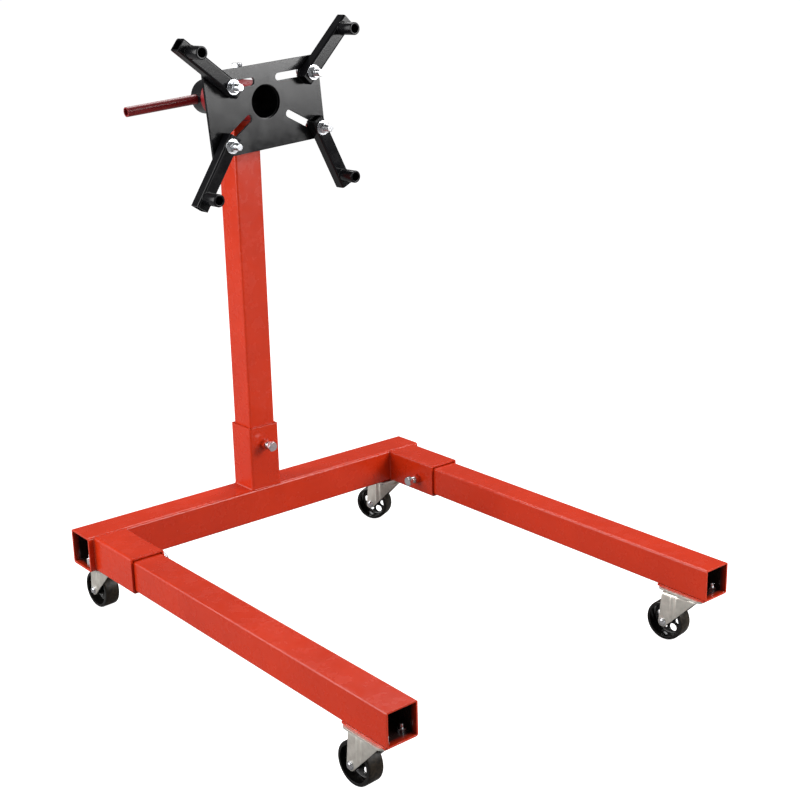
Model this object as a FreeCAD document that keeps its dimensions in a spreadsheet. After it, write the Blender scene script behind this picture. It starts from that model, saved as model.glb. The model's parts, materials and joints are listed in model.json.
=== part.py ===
import FreeCAD, Part
import math
import os
import Sketcher

# Engine stand: a welded base on four swivel casters, a bolted post, and a head that turns in a receiver.
# Frame: +X to the right, +Y to the back (the legs point to -Y), +Z up.
# The origin is on the floor, at the middle of the stand's footprint.

Vector = FreeCAD.Vector
Rotation = FreeCAD.Rotation
Placement = FreeCAD.Placement

X_AXIS = Vector(1, 0, 0)
Y_AXIS = Vector(0, 1, 0)
Z_AXIS = Vector(0, 0, 1)

# ---------------------------------------------------------------------------------------------------
# Driving dimensions, in millimetres and degrees
# ---------------------------------------------------------------------------------------------------

DIMENSIONS = [
    # square tubes of the base
    ("tube_side", 70, "side of the cross tube and the sockets"),
    ("tube_wall", 4, "their wall"),
    ("tube_round", 5, "their outer corner radius"),
    ("leg_side", 60, "side of the legs and the post"),
    ("leg_wall", 3, "their wall"),
    ("leg_round", 4, "their outer corner radius"),
    # base frame
    ("cross_length", 825, "length of the cross tube"),
    ("cross_y", 399, "its centre line behind the origin"),
    ("base_z", 108.5, "underside of the cross tube, and the casters' height"),
    ("socket_inset", 11, "leg socket's outer side from the tube's end"),
    ("leg_socket_length", 142, "length of a leg socket"),
    ("leg_reach", 910, "leg's front end from the cross tube's centre line"),
    ("leg_gap", 2, "gap between the leg's back end and the cross tube"),
    ("post_socket_height", 133, "height of the post socket"),
    ("pad_length", 105, "pad under the leg's front end"),
    ("pad_setback", 5, "pad's front edge behind the leg's end"),
    # set bolts and their weld nuts
    ("set_bolt_radius", 6, "shank of the set bolts"),
    ("set_bolt_hex", 19, "across flats of head and nut"),
    ("set_head_height", 8, "height of the head"),
    ("set_nut_height", 10, "height of the weld nut"),
    ("set_bolt_show", 12, "bare shank between nut and head"),
    ("thread_gap", 0.05, "radial gap between shank and nut"),
    ("post_bolt_rise", 95, "post set bolt above the cross tube's top"),
    ("leg_bolt_setback", 95, "leg set bolt in front of the cross tube's face"),
    ("leg_bolt_rise", 30, "leg set bolt above the cross tube's underside"),
    # receiver and barrel
    ("head_z", 970, "height of the head's axis"),
    ("receiver_radius", 38.1, "outside of the receiver"),
    ("receiver_bore", 34.1, "its bore radius"),
    ("receiver_front", 90, "its front end in front of the cross tube's centre line"),
    ("receiver_length", 159, "its length"),
    ("barrel_radius", 34, "outside of the barrel"),
    ("barrel_bore", 31, "its bore radius"),
    ("barrel_rear", 112, "its rear end behind the cross tube's centre line"),
    ("lock_bolt_setback", 82, "lock bolt behind the receiver's front end"),
    ("lock_bolt_lift", 0.4, "gap between the bolt's tip and the barrel"),
    # turning handle
    ("handle_radius", 9.5, "outside of the handle"),
    ("handle_bore", 7, "its bore radius"),
    ("handle_left", 190, "its reach to the left of the head's axis"),
    ("handle_right", 70, "its reach to the right"),
    ("handle_setback", 16, "its axis in front of the barrel's rear end"),
    ("handle_gap", 0.1, "radial gap in the barrel's cross hole"),
    # head plate, in its own frame with the head's axis at the origin
    ("plate_front", 100, "its front face in front of the cross tube's centre line"),
    ("plate_thickness", 6, "its thickness"),
    ("plate_width", 260, "its width"),
    ("plate_height", 158, "its height"),
    ("plate_corner", 3, "its corner radius"),
    ("plate_drop", 8.7, "its centre below the head's axis"),
    ("plate_hole", 32, "radius of the centre hole"),
    ("slot_radius", 7.25, "half the width of the slots"),
    ("top_slot_z", 41, "level slots above the head's axis"),
    ("top_slot_inner", 31, "inner end of the level slots"),
    ("top_slot_right", 106, "outer end of the right one"),
    ("top_slot_left", 93.8, "outer end of the left one"),
    ("slot_shift", 3.8, "how far all the inner ends stand to the right"),
    ("low_slot_x", 46, "inner end of the slanting slots, across"),
    ("low_slot_z", 28, "their inner end below the axis"),
    ("low_slot_length", 74, "their length between end centres"),
    ("low_slot_angle", 32, "their slope below level"),
    ("head_roll", 5, "the head's roll as it stands, right side up"),
    # mounting arms
    ("arm_side", 26, "side of an arm's square tube"),
    ("arm_wall", 3, "its wall"),
    ("arm_round", 4, "its outer corner radius"),
    ("arm_inner", 19, "its inner end beyond the bolt"),
    ("arm_outer", 130, "its outer end from the bolt"),
    ("arm_gap", 0.3, "gap between the arm and the plate or washer"),
    ("sleeve_at", 107.5, "sleeve's axis from the bolt"),
    ("sleeve_radius", 12, "outside of the sleeve"),
    ("sleeve_bore", 8, "its bore radius"),
    ("sleeve_length", 38, "its length in front of the arm"),
    ("arm_passage", 9, "radius of the arm's holes behind the sleeve"),
    # arm bolts
    ("bolt_radius", 6, "shank of the arm bolts"),
    ("bolt_hex", 19, "across flats of head and nut"),
    ("bolt_head_height", 8, "height of the head"),
    ("bolt_nut_height", 10, "height of the nut"),
    ("bolt_end", 13, "thread beyond the nut"),
    ("washer_radius", 14, "outside of a washer"),
    ("washer_thickness", 2.5, "its thickness"),
    # casters, each with its kingpin at the origin of its own frame and its plate's top at zero
    ("front_kingpin", 851, "front kingpins in front of the cross tube's centre line"),
    ("rear_kingpin_x", 354, "rear kingpins from the middle"),
    ("rear_kingpin", 6, "rear kingpins in front of the cross tube's centre line"),
    ("top_plate_long", 95, "long side of the top plate"),
    ("top_plate_short", 67, "short side"),
    ("top_plate_thickness", 3.5, "its thickness"),
    ("top_plate_corner", 8, "its corner radius"),
    ("plate_bolt_long", 36, "bolt from the kingpin along the long side"),
    ("plate_bolt_short", 17, "bolt from the kingpin along the short side"),
    ("plate_bolt_radius", 4, "shank of the plate bolts"),
    ("plate_bolt_hole", 4.5, "their hole radius"),
    ("plate_bolt_hex", 13, "across flats"),
    ("plate_bolt_head", 5.3, "height of the head"),
    ("plate_bolt_nut", 6.5, "height of the nut"),
    ("plate_bolt_end", 7, "thread beyond the nut"),
    ("ball_radius", 3.1, "swivel balls"),
    ("ball_circle", 18, "radius of the ball circle"),
    ("ball_gap", 0.3, "gap above and below the balls"),
    ("kingpin_radius", 5, "shank of the kingpin"),
    ("kingpin_gap", 0.08, "radial gap in the fork"),
    ("kingpin_head", 9, "radius of the riveted head"),
    ("kingpin_head_height", 3.5, "its height"),
    ("fork_wall", 2.5, "thickness of the fork"),
    ("fork_width", 41, "width over the two cheeks"),
    ("fork_back", 50, "crown's rear edge behind the kingpin"),
    ("fork_nose", 27, "crown's front edge in front of the kingpin"),
    ("fork_skirt", 9, "depth of the crown's front edge"),
    ("raceway_radius", 25, "outside of the raceway"),
    ("raceway_rim", 21.8, "inside of its rim"),
    ("rib_depth", 1.4, "height of the pressed ribs on the cheeks"),
    ("rib_width", 6, "their width"),
    ("wheel_trail", 42, "axle behind the kingpin"),
    ("wheel_radius", 37.5, "wheel radius, and the axle's height"),
    ("wheel_width", 31, "width of the tread"),
    ("wheel_lip", 30.5, "radius inside the rim"),
    ("wheel_web", 10, "thickness of the web"),
    ("wheel_hub", 12, "outside of the hub"),
    ("hub_width", 34, "length of the hub"),
    ("wheel_hole_radius", 6, "lightening holes"),
    ("wheel_hole_circle", 21.3, "radius of their circle"),
    ("axle_boss", 10, "round end of the cheeks"),
    ("axle_sleeve_radius", 6.5, "sleeve that the wheel turns on"),
    ("axle_sleeve_gap", 0.08, "radial gap between sleeve and wheel"),
    ("axle_radius", 4, "shank of the axle bolt"),
    ("axle_hex", 13, "across flats of its head and nut"),
    ("axle_head", 5.3, "height of its head and nut"),
    ("axle_end", 3, "thread beyond the nut"),
]

doc = FreeCAD.newDocument("engine_stand")
sheet = doc.addObject("Spreadsheet::Sheet", "dims")
for row, (alias, value, meaning) in enumerate(DIMENSIONS, start=1):
    sheet.set("A%d" % row, meaning)
    sheet.set("B%d" % row, str(value))
    sheet.setAlias("B%d" % row, alias)
doc.recompute()


def with_sheet(expression):
    """Write a formula of plain names as an expression on the sheet."""
    for alias in sorted((entry[0] for entry in DIMENSIONS), key=len, reverse=True):
        expression = expression.replace(alias, "<<dims>>." + "".join(c + "\0" for c in alias))
    return expression.replace("\0", "")


def size(expression):
    """The present value of a formula of sheet names."""
    return float(sheet.evalExpression(with_sheet(expression)))


def bind(thing, **formulas):
    """Bind properties of an object to formulas of sheet names."""
    for name, formula in formulas.items():
        thing.setExpression(name, with_sheet(formula))


# ---------------------------------------------------------------------------------------------------
# Solids
# ---------------------------------------------------------------------------------------------------

nodes = {}


def at(x, y, z, turn=None):
    """A placement from formulas, with an optional rotation."""
    return Placement(Vector(size(x), size(y), size(z)), turn or Rotation())


def node(name, thing, placement=None):
    """Give a finished piece its name and its place."""
    thing.Label = name
    if placement is not None:
        thing.Placement = placement.multiply(thing.Placement)
    nodes[name] = thing
    return thing


def box(long, wide, high, x="0", y="0", z="0"):
    """A box centred on x and y, standing on z."""
    thing = doc.addObject("Part::Box", "box")
    bind(thing, Length=long, Width=wide, Height=high)
    thing.Placement = at("(%s) - (%s) / 2" % (x, long), "(%s) - (%s) / 2" % (y, wide), z)
    return thing


def rod(radius, length, x="0", y="0", z="0", turn=None):
    """A cylinder that starts at the point and runs along +Z, or as turned."""
    thing = doc.addObject("Part::Cylinder", "rod")
    bind(thing, Radius=radius, Height=length)
    thing.Placement = at(x, y, z, turn)
    return thing


def hexagon(flats, height, x="0", y="0", z="0", turn=None):
    """A hexagonal prism that starts at the point and runs along +Z, or as turned."""
    thing = doc.addObject("Part::Prism", "hexagon")
    thing.Polygon = 6
    bind(thing, Circumradius="(%s) / 1.7320508" % flats, Height=height)
    thing.Placement = at(x, y, z, turn)
    return thing


def cut(base, *tools):
    """One solid less the others."""
    tool = tools[0] if len(tools) == 1 else fuse(*tools)
    thing = doc.addObject("Part::Cut", "cut")
    thing.Base = base
    thing.Tool = tool
    return thing


def fuse(*things):
    """Several solids made one."""
    thing = doc.addObject("Part::MultiFuse", "fuse")
    thing.Shapes = list(things)
    return thing


def group(*things):
    """Separate solids kept together in one node."""
    thing = doc.addObject("Part::Compound", "group")
    thing.Links = list(things)
    return thing


def crowned_hexagon(flats, height, z="0"):
    """A hexagon whose top corners are turned off, as on a bolt head or a nut."""
    blank = hexagon(flats, height, z=z)
    cone = doc.addObject("Part::Cone", "crown")
    bind(cone, Radius1="(%s) / 2 + (%s)" % (flats, height), Radius2="(%s) / 2 * 0.96" % flats, Height=height)
    cone.Placement = at("0", "0", z)
    thing = doc.addObject("Part::Common", "crowned")
    thing.Base = blank
    thing.Tool = cone
    return thing


def bolt(radius, length, flats, head):
    """A hexagon bolt: head on top of z = 0, shank down to -length."""
    return fuse(crowned_hexagon(flats, head), rod(radius, length, z="-(%s)" % length))


def nut(flats, height, bore):
    """A hexagon nut that stands on z = 0."""
    return cut(crowned_hexagon(flats, height), rod(bore, "(%s) + 2" % height, z="-1"))


def washer(bore):
    """A plain washer that stands on z = 0."""
    return cut(rod("washer_radius", "washer_thickness"), rod(bore, "washer_thickness + 2", z="-1"))


# ---------------------------------------------------------------------------------------------------
# Sketches
# ---------------------------------------------------------------------------------------------------

HORIZONTAL_AXIS = -1
VERTICAL_AXIS = -2
ROOT_POINT = (-1, 1)
START, END, CENTRE = 1, 2, 3


def sketch_on(body, plane, name):
    """A sketch on one of the body's own origin planes."""
    drawing = body.newObject("Sketcher::SketchObject", name)
    support = [item for item in body.Origin.OriginFeatures if item.Role == plane][0]
    drawing.AttachmentSupport = (support, "")
    drawing.MapMode = "FlatFace"
    return drawing


def dimension(drawing, constraint, formula):
    """Add a dimension to a sketch and bind it to the sheet."""
    index = drawing.addConstraint(constraint)
    drawing.setExpression("Constraints[%d]" % index, with_sheet(formula))


def pin(drawing, geometry, point, x, y):
    """Hold a point of the sketch at x and y, both formulas."""
    for direction, axis, formula in (("X", VERTICAL_AXIS, x), ("Y", HORIZONTAL_AXIS, y)):
        value = size(formula)
        if abs(value) < 1e-9:
            drawing.addConstraint(Sketcher.Constraint("PointOnObject", geometry, point, axis))
        elif value > 0:
            held = Sketcher.Constraint("Distance" + direction, *ROOT_POINT, geometry, point, value)
            dimension(drawing, held, formula)
        else:
            held = Sketcher.Constraint("Distance" + direction, geometry, point, *ROOT_POINT, -value)
            dimension(drawing, held, "-(%s)" % formula)


def circle(drawing, x, y, radius):
    """A circle whose centre and radius are formulas."""
    shape = Part.Circle(Vector(size(x), size(y), 0), Z_AXIS, size(radius))
    geometry = drawing.addGeometry(shape, False)
    pin(drawing, geometry, CENTRE, x, y)
    dimension(drawing, Sketcher.Constraint("Radius", geometry, size(radius)), radius)


def polygon(drawing, corners):
    """A closed outline of straight lines through corners given as formulas."""
    places = [Vector(size(x), size(y), 0) for x, y in corners]
    ends = places[1:] + places[:1]
    lines = [drawing.addGeometry(Part.LineSegment(a, b), False) for a, b in zip(places, ends)]
    for line, following in zip(lines, lines[1:] + lines[:1]):
        drawing.addConstraint(Sketcher.Constraint("Coincident", line, END, following, START))
    for line, (x, y) in zip(lines, corners):
        pin(drawing, line, START, x, y)


def rounded_rectangle(drawing, wide, high, radius, x="0", y="0"):
    """A rectangle with round corners, centred on x and y."""
    half_wide, half_high, corner = size(wide) / 2, size(high) / 2, size(radius)
    middle = Vector(size(x), size(y), 0)
    arcs = []
    for quarter, (side_x, side_y) in enumerate(((1, 1), (-1, 1), (-1, -1), (1, -1))):
        centre = middle + Vector(side_x * (half_wide - corner), side_y * (half_high - corner), 0)
        turn = quarter * math.pi / 2
        arc = Part.ArcOfCircle(Part.Circle(centre, Z_AXIS, corner), turn, turn + math.pi / 2)
        arcs.append(drawing.addGeometry(arc, False))
        column = "(%s) + (%d) * ((%s) / 2 - (%s))" % (x, side_x, wide, radius)
        level = "(%s) + (%d) * ((%s) / 2 - (%s))" % (y, side_y, high, radius)
        pin(drawing, arcs[-1], CENTRE, column, level)
    for arc in arcs[1:]:
        drawing.addConstraint(Sketcher.Constraint("Equal", arcs[0], arc))
    dimension(drawing, Sketcher.Constraint("Radius", arcs[0], corner), radius)
    for index, arc in enumerate(arcs):
        following = arcs[(index + 1) % 4]
        start = drawing.getPoint(arc, END)
        end = drawing.getPoint(following, START)
        side = drawing.addGeometry(Part.LineSegment(start, end), False)
        drawing.addConstraint(Sketcher.Constraint("Tangent", arc, END, side, START))
        drawing.addConstraint(Sketcher.Constraint("Tangent", side, END, following, START))


def slot(drawing, x1, y1, x2, y2, radius):
    """A slot between two end centres, given as formulas."""
    first = Vector(size(x1), size(y1), 0)
    last = Vector(size(x2), size(y2), 0)
    heading = math.atan2(last.y - first.y, last.x - first.x)
    quarter, reach = math.pi / 2, size(radius)
    near = Part.ArcOfCircle(Part.Circle(first, Z_AXIS, reach), heading + quarter, heading + 3 * quarter)
    far = Part.ArcOfCircle(Part.Circle(last, Z_AXIS, reach), heading - quarter, heading + quarter)
    arcs = [drawing.addGeometry(near, False), drawing.addGeometry(far, False)]
    pin(drawing, arcs[0], CENTRE, x1, y1)
    pin(drawing, arcs[1], CENTRE, x2, y2)
    drawing.addConstraint(Sketcher.Constraint("Equal", arcs[0], arcs[1]))
    dimension(drawing, Sketcher.Constraint("Radius", arcs[0], reach), radius)
    for arc, following in ((arcs[0], arcs[1]), (arcs[1], arcs[0])):
        start = drawing.getPoint(arc, END)
        end = drawing.getPoint(following, START)
        side = drawing.addGeometry(Part.LineSegment(start, end), False)
        drawing.addConstraint(Sketcher.Constraint("Tangent", arc, END, side, START))
        drawing.addConstraint(Sketcher.Constraint("Tangent", side, END, following, START))


def new_body(name):
    """A PartDesign body."""
    return doc.addObject("PartDesign::Body", name)


def pad(body, drawing, length, both_ways=False):
    """Raise a sketch by a length, one way or evenly both ways."""
    feature = body.newObject("PartDesign::Pad", drawing.Name + "_pad")
    feature.Profile = drawing
    feature.Midplane = both_ways
    bind(feature, Length=length)
    body.Tip = feature
    doc.recompute()
    return feature


def pocket(body, drawing, length, both_ways=False, reverse=False):
    """Sink a sketch by a length; a pocket that cuts nothing stops the build."""
    before = body.Tip.Shape.Volume
    feature = body.newObject("PartDesign::Pocket", drawing.Name + "_pocket")
    feature.Profile = drawing
    feature.Midplane = both_ways
    feature.Reversed = reverse
    bind(feature, Length=length)
    body.Tip = feature
    doc.recompute()
    if not feature.Shape.Volume < before - 1e-3:
        raise RuntimeError(drawing.Name + " cuts nothing")
    return feature


def square_tube(name, side, wall, corner, length):
    """A square tube with round corners that runs along +Z from the origin."""
    body = new_body(name)
    section = sketch_on(body, "XY_Plane", name + "_section")
    rounded_rectangle(section, side, side, corner)
    hollow = "(%s) - 2 * (%s)" % (side, wall)
    rounded_rectangle(section, hollow, hollow, "(%s) - (%s)" % (corner, wall))
    pad(body, section, length)
    return body


# ---------------------------------------------------------------------------------------------------
# Base frame
# ---------------------------------------------------------------------------------------------------

TO_FRONT = Rotation(X_AXIS, 90)         # +Z of a piece turned to point to -Y
TO_BACK = Rotation(X_AXIS, -90)         # to +Y
TO_RIGHT = Rotation(Y_AXIS, 90)         # to +X
TO_LEFT = Rotation(Y_AXIS, -90)         # to -X
DOWN = Rotation(X_AXIS, 180)            # to -Z

SOCKET_X = "(cross_length / 2 - socket_inset - tube_side / 2)"
BASE_TOP = "(base_z + tube_side)"
SOCKET_FACE_Y = "(cross_y - tube_side / 2)"
LEG_Z = "(base_z + tube_wall + leg_side / 2)"
POST_TOP = "(head_z - sqrt(receiver_radius ^ 2 - (leg_side / 2) ^ 2))"
SIDES = (("left", -1), ("right", 1))

FRONT_KINGPIN_Y = "(cross_y - front_kingpin)"
REAR_KINGPIN_Y = "(cross_y - rear_kingpin)"

# name, kingpin's x and y, whether the plate's long side lies across, and the fork's turn about the kingpin
CASTERS = (
    ("front_left", "-" + SOCKET_X, FRONT_KINGPIN_Y, False, 3.0),
    ("front_right", SOCKET_X, FRONT_KINGPIN_Y, False, 7.0),
    ("rear_left", "-rear_kingpin_x", REAR_KINGPIN_Y, True, 4.0),
    ("rear_right", "rear_kingpin_x", REAR_KINGPIN_Y, True, 24.0),
)


def plate_bolt_places(across):
    """Formulas for the four bolts about a kingpin."""
    along_x, along_y = ("plate_bolt_long", "plate_bolt_short") if across else ("plate_bolt_short", "plate_bolt_long")
    return [("(%d) * %s" % (sx, along_x), "(%d) * %s" % (sy, along_y)) for sx in (-1, 1) for sy in (-1, 1)]


def caster_holes(x, y, across, bottom, depth):
    """Drills for the plate bolts of one caster, from the bottom up."""
    return [rod("plate_bolt_hole", depth, "(%s) + (%s)" % (x, dx), "(%s) + (%s)" % (y, dy), bottom)
            for dx, dy in plate_bolt_places(across)]


def make_cross_tube():
    tube = square_tube("cross_tube_section", "tube_side", "tube_wall", "tube_round", "cross_length")
    tube.Placement = at("-cross_length / 2", "cross_y", "base_z + tube_side / 2", TO_RIGHT)
    drills = []
    for name, x, y, across, turn in CASTERS:
        if across:
            drills += caster_holes(x, y, across, "base_z - 1", "tube_wall + 2")
    node("cross_tube", cut(tube, *drills))


def make_leg(side, sign):
    """One leg socket, its leg and the pad under the leg's front end."""
    x = "(%d) * %s" % (sign, SOCKET_X)
    socket = square_tube(side + "_socket_section", "tube_side", "tube_wall", "tube_round", "leg_socket_length")
    socket.Placement = at(x, SOCKET_FACE_Y, "base_z + tube_side / 2", TO_FRONT)
    bolt_y = SOCKET_FACE_Y + " - leg_bolt_setback"
    inner_face = "(%d) * (%s - tube_side / 2 - 1)" % (sign, SOCKET_X)
    inwards = TO_LEFT if sign < 0 else TO_RIGHT
    drill = rod("set_bolt_radius + 0.5", "tube_wall + 2", inner_face, bolt_y, "base_z + leg_bolt_rise", inwards)
    node(side + "_leg_socket", cut(socket, drill))

    leg = square_tube(side + "_leg_section", "leg_side", "leg_wall", "leg_round",
                      "leg_reach - tube_side / 2 - leg_gap")
    leg.Placement = at(x, SOCKET_FACE_Y + " - leg_gap", LEG_Z, TO_FRONT)
    drills = caster_holes(x, FRONT_KINGPIN_Y, False, "base_z - 1", "tube_wall + leg_wall + 2")
    node(side + "_leg", cut(leg, *drills))

    pad_y = "cross_y - leg_reach + pad_setback + pad_length / 2"
    plate = box("leg_side - 2", "pad_length", "tube_wall", x, pad_y, "base_z")
    drills = caster_holes(x, FRONT_KINGPIN_Y, False, "base_z - 1", "tube_wall + 2")
    node(side + "_caster_pad", cut(plate, *drills))


def make_post():
    socket = square_tube("post_socket_section", "tube_side", "tube_wall", "tube_round", "post_socket_height")
    socket.Placement = at("0", "cross_y", BASE_TOP)
    drill = rod("set_bolt_radius + 0.5", "tube_wall + 2", "0", SOCKET_FACE_Y + " - 1",
                BASE_TOP + " + post_bolt_rise", TO_BACK)
    node("post_socket", cut(socket, drill))

    post = square_tube("post_section", "leg_side", "leg_wall", "leg_round", POST_TOP + " - " + BASE_TOP)
    post.Placement = at("0", "cross_y", BASE_TOP)
    saddle = rod("receiver_radius", "leg_side + 20", "0", "cross_y - leg_side / 2 - 10", "head_z", TO_BACK)
    node("upper_post", cut(post, saddle))


# ---------------------------------------------------------------------------------------------------
# Receiver, set bolts and weld nuts
# ---------------------------------------------------------------------------------------------------

LOCK_Y = "(cross_y - receiver_front + lock_bolt_setback)"
RECEIVER_TOP = "(head_z + receiver_radius)"
NUT_SEAT = 1.2      # how far the receiver's nut is let into the round of the tube


def make_receiver():
    body = new_body("receiver_body")
    section = sketch_on(body, "XZ_Plane", "receiver_section")
    circle(section, "0", "0", "receiver_radius")
    circle(section, "0", "0", "receiver_bore")
    pad(body, section, "receiver_length")
    body.Placement = at("0", "cross_y - receiver_front + receiver_length", "head_z")
    drill = rod("set_bolt_radius + 0.5", "receiver_radius", "0", LOCK_Y, "head_z + receiver_bore - 10")
    node("receiver_tube", cut(body, drill))


def set_bolt(reach):
    """A set bolt whose nut's foot is at z = 0 and whose tip is at -reach."""
    thing = bolt("set_bolt_radius", "(%s) + set_nut_height + set_bolt_show" % reach, "set_bolt_hex",
                 "set_head_height")
    thing.Placement = at("0", "0", "set_nut_height + set_bolt_show")
    return group(thing)


def make_set_bolts():
    """The three socket set bolts, with a weld nut for each and one for the head's lock bolt."""
    sites = [("post", at("0", SOCKET_FACE_Y, BASE_TOP + " + post_bolt_rise", TO_FRONT))]
    for side, sign in SIDES:
        face = "(%d) * (%s - tube_side / 2)" % (sign, SOCKET_X)
        inwards = TO_RIGHT if sign < 0 else TO_LEFT
        sites.append((side + "_leg", at(face, SOCKET_FACE_Y + " - leg_bolt_setback",
                                        "base_z + leg_bolt_rise", inwards)))
    nuts = []
    for name, place in sites:
        reach = "(tube_side - leg_side) / 2"
        node(name + "_set_bolt", set_bolt(reach), place)
        weld_nut = nut("set_bolt_hex", "set_nut_height", "set_bolt_radius + thread_gap")
        weld_nut.Placement = place
        nuts.append(weld_nut)
    node("socket_weld_nuts", group(*nuts))

    blank = nut("set_bolt_hex", "set_nut_height", "set_bolt_radius + thread_gap")
    blank.Placement = at("0", LOCK_Y, RECEIVER_TOP + " - %s" % NUT_SEAT)
    saddle = rod("receiver_radius", "40", "0", LOCK_Y + " - 20", "head_z", TO_BACK)
    node("receiver_weld_nut", cut(blank, saddle))

    reach = "receiver_radius - barrel_radius - lock_bolt_lift"
    node("head_lock_bolt", set_bolt(reach), at("0", LOCK_Y, RECEIVER_TOP))


# ---------------------------------------------------------------------------------------------------
# Head: everything here is drawn level, with the head's axis along Y, then rolled into place.
# Its own origin is on the axis, in the front face of the plate.
# ---------------------------------------------------------------------------------------------------

HEAD = at("0", "cross_y - plate_front", "head_z", Rotation(Y_AXIS, -size("head_roll")))
HANDLE_Y = "(plate_front + barrel_rear - handle_setback)"

LOW_END_X = "(low_slot_x + low_slot_length * cos(low_slot_angle * 1 deg))"
LOW_END_Z = "(low_slot_z + low_slot_length * sin(low_slot_angle * 1 deg))"

# name, bolt's x and z on the plate, and the arm's direction from the bolt, in degrees from +X towards +Z
ARMS = (
    ("upper_left", -85.4, "top_slot_z", 137.5),
    ("upper_right", 97.5, "top_slot_z", 41.5),
    ("lower_left", -103.5, None, 232.0),
    ("lower_right", 105.2, None, -68.5),
)


def bolt_place(x, z):
    """Where an arm's bolt stands on the plate."""
    if z is not None:
        return x, size(z)
    along = (abs(x) - size("low_slot_x")) / math.cos(math.radians(size("low_slot_angle")))
    return x, -(size("low_slot_z") + along * math.sin(math.radians(size("low_slot_angle"))))


def make_barrel():
    body = new_body("barrel_body")
    section = sketch_on(body, "XZ_Plane", "barrel_section")
    circle(section, "0", "0", "barrel_radius")
    circle(section, "0", "0", "barrel_bore")
    pad(body, section, "plate_front - plate_thickness + barrel_rear")
    body.Placement = at("0", "plate_front + barrel_rear", "0")
    cross_hole = rod("handle_radius + handle_gap", "2 * barrel_radius + 10", "-barrel_radius - 5", HANDLE_Y, "0",
                     TO_RIGHT)
    node("head_barrel", cut(body, cross_hole), HEAD)


def make_head_plate():
    body = new_body("head_plate_body")
    outline = sketch_on(body, "XZ_Plane", "plate_outline")
    rounded_rectangle(outline, "plate_width", "plate_height", "plate_corner", "0", "-plate_drop")
    circle(outline, "0", "0", "plate_hole")
    for sign, outer in ((-1, "top_slot_left"), (1, "top_slot_right")):
        slot(outline, "(%d) * top_slot_inner + slot_shift" % sign, "top_slot_z",
             "(%d) * %s" % (sign, outer), "top_slot_z", "slot_radius")
        slot(outline, "(%d) * low_slot_x + slot_shift" % sign,
             "-(low_slot_z + (%d) * slot_shift * tan(low_slot_angle * 1 deg))" % sign,
             "(%d) * %s" % (sign, LOW_END_X), "-" + LOW_END_Z, "slot_radius")
    pad(body, outline, "plate_thickness")
    body.Placement = at("0", "plate_thickness", "0")
    node("head_plate", body, HEAD)


def make_handle():
    length = "handle_left + handle_right"
    tube = cut(rod("handle_radius", length, "-handle_left", HANDLE_Y, "0", TO_RIGHT),
               rod("handle_bore", length + " + 2", "-handle_left - 1", HANDLE_Y, "0", TO_RIGHT))
    node("turning_handle", group(tube), HEAD)


def make_arm(name, x, z, direction):
    """An arm with its sleeve, and the bolt, washers and nut that hold it in the plate's slot."""
    across, up = bolt_place(x, z)
    # the arm's own frame: origin on the bolt in the plate's front face, +X along the arm, +Y to the back
    site = HEAD.multiply(Placement(Vector(across, 0, up), Rotation(Y_AXIS, -direction)))

    back = "-arm_gap"
    front = "(-arm_gap - arm_side)"
    tube = square_tube(name + "_arm_section", "arm_side", "arm_wall", "arm_round", "arm_inner + arm_outer")
    tube.Placement = at("-arm_inner", back + " - arm_side / 2", "0", TO_RIGHT)
    pivot = rod("bolt_radius + thread_gap", "arm_side + 2", "0", back + " + 1", "0", TO_FRONT)
    passage = rod("arm_passage", "arm_side + 2", "sleeve_at", back + " + 1", "0", TO_FRONT)
    node(name + "_arm", cut(tube, pivot, passage), site)

    sleeve = cut(rod("sleeve_radius", "sleeve_length", "sleeve_at", front, "0", TO_FRONT),
                 rod("sleeve_bore", "sleeve_length + 2", "sleeve_at", front + " + 1", "0", TO_FRONT))
    node(name + "_arm_sleeve", sleeve, site)

    rear_face = "(plate_thickness + arm_gap + washer_thickness)"
    front_face = "(arm_side + 2 * arm_gap + washer_thickness)"
    shank = "(%s + %s + bolt_nut_height + bolt_end)" % (rear_face, front_face)
    screw = bolt("bolt_radius", shank, "bolt_hex", "bolt_head_height")
    screw.Placement = at("0", rear_face, "0", TO_BACK)
    node(name + "_arm_bolt", group(screw), site)

    rear_washer = washer("bolt_radius + thread_gap")
    rear_washer.Placement = at("0", "plate_thickness + arm_gap", "0", TO_BACK)
    front_washer = washer("bolt_radius + thread_gap")
    front_washer.Placement = at("0", front + " - arm_gap", "0", TO_FRONT)
    top_nut = nut("bolt_hex", "bolt_nut_height", "bolt_radius + thread_gap")
    top_nut.Placement = at("0", "-" + front_face, "0", TO_FRONT)
    node(name + "_arm_nut_and_washers", group(rear_washer, front_washer, top_nut), site)


# ---------------------------------------------------------------------------------------------------
# Casters: the kingpin stands on the origin, the top plate's upper face is at z = 0 and the wheel trails to +Y
# ---------------------------------------------------------------------------------------------------

CROWN_TOP = "(-top_plate_thickness - 2 * ball_gap - 2 * ball_radius)"
CROWN_UNDER = "(" + CROWN_TOP + " - fork_wall)"
AXLE_Z = "(wheel_radius - base_z)"
CHEEK = "(fork_width / 2)"
BALLS = 16
WHEEL_HOLES = 6


def make_top_plate(name, place, across):
    body = new_body(name + "_plate_body")
    outline = sketch_on(body, "XY_Plane", name + "_plate_outline")
    wide, deep = ("top_plate_long", "top_plate_short") if across else ("top_plate_short", "top_plate_long")
    rounded_rectangle(outline, wide, deep, "top_plate_corner")
    circle(outline, "0", "0", "kingpin_radius")
    for x, y in plate_bolt_places(across):
        circle(outline, x, y, "plate_bolt_hole")
    pad(body, outline, "top_plate_thickness")
    body.Placement = at("0", "0", "-top_plate_thickness")
    node(name + "_caster_plate", body, place)


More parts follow.
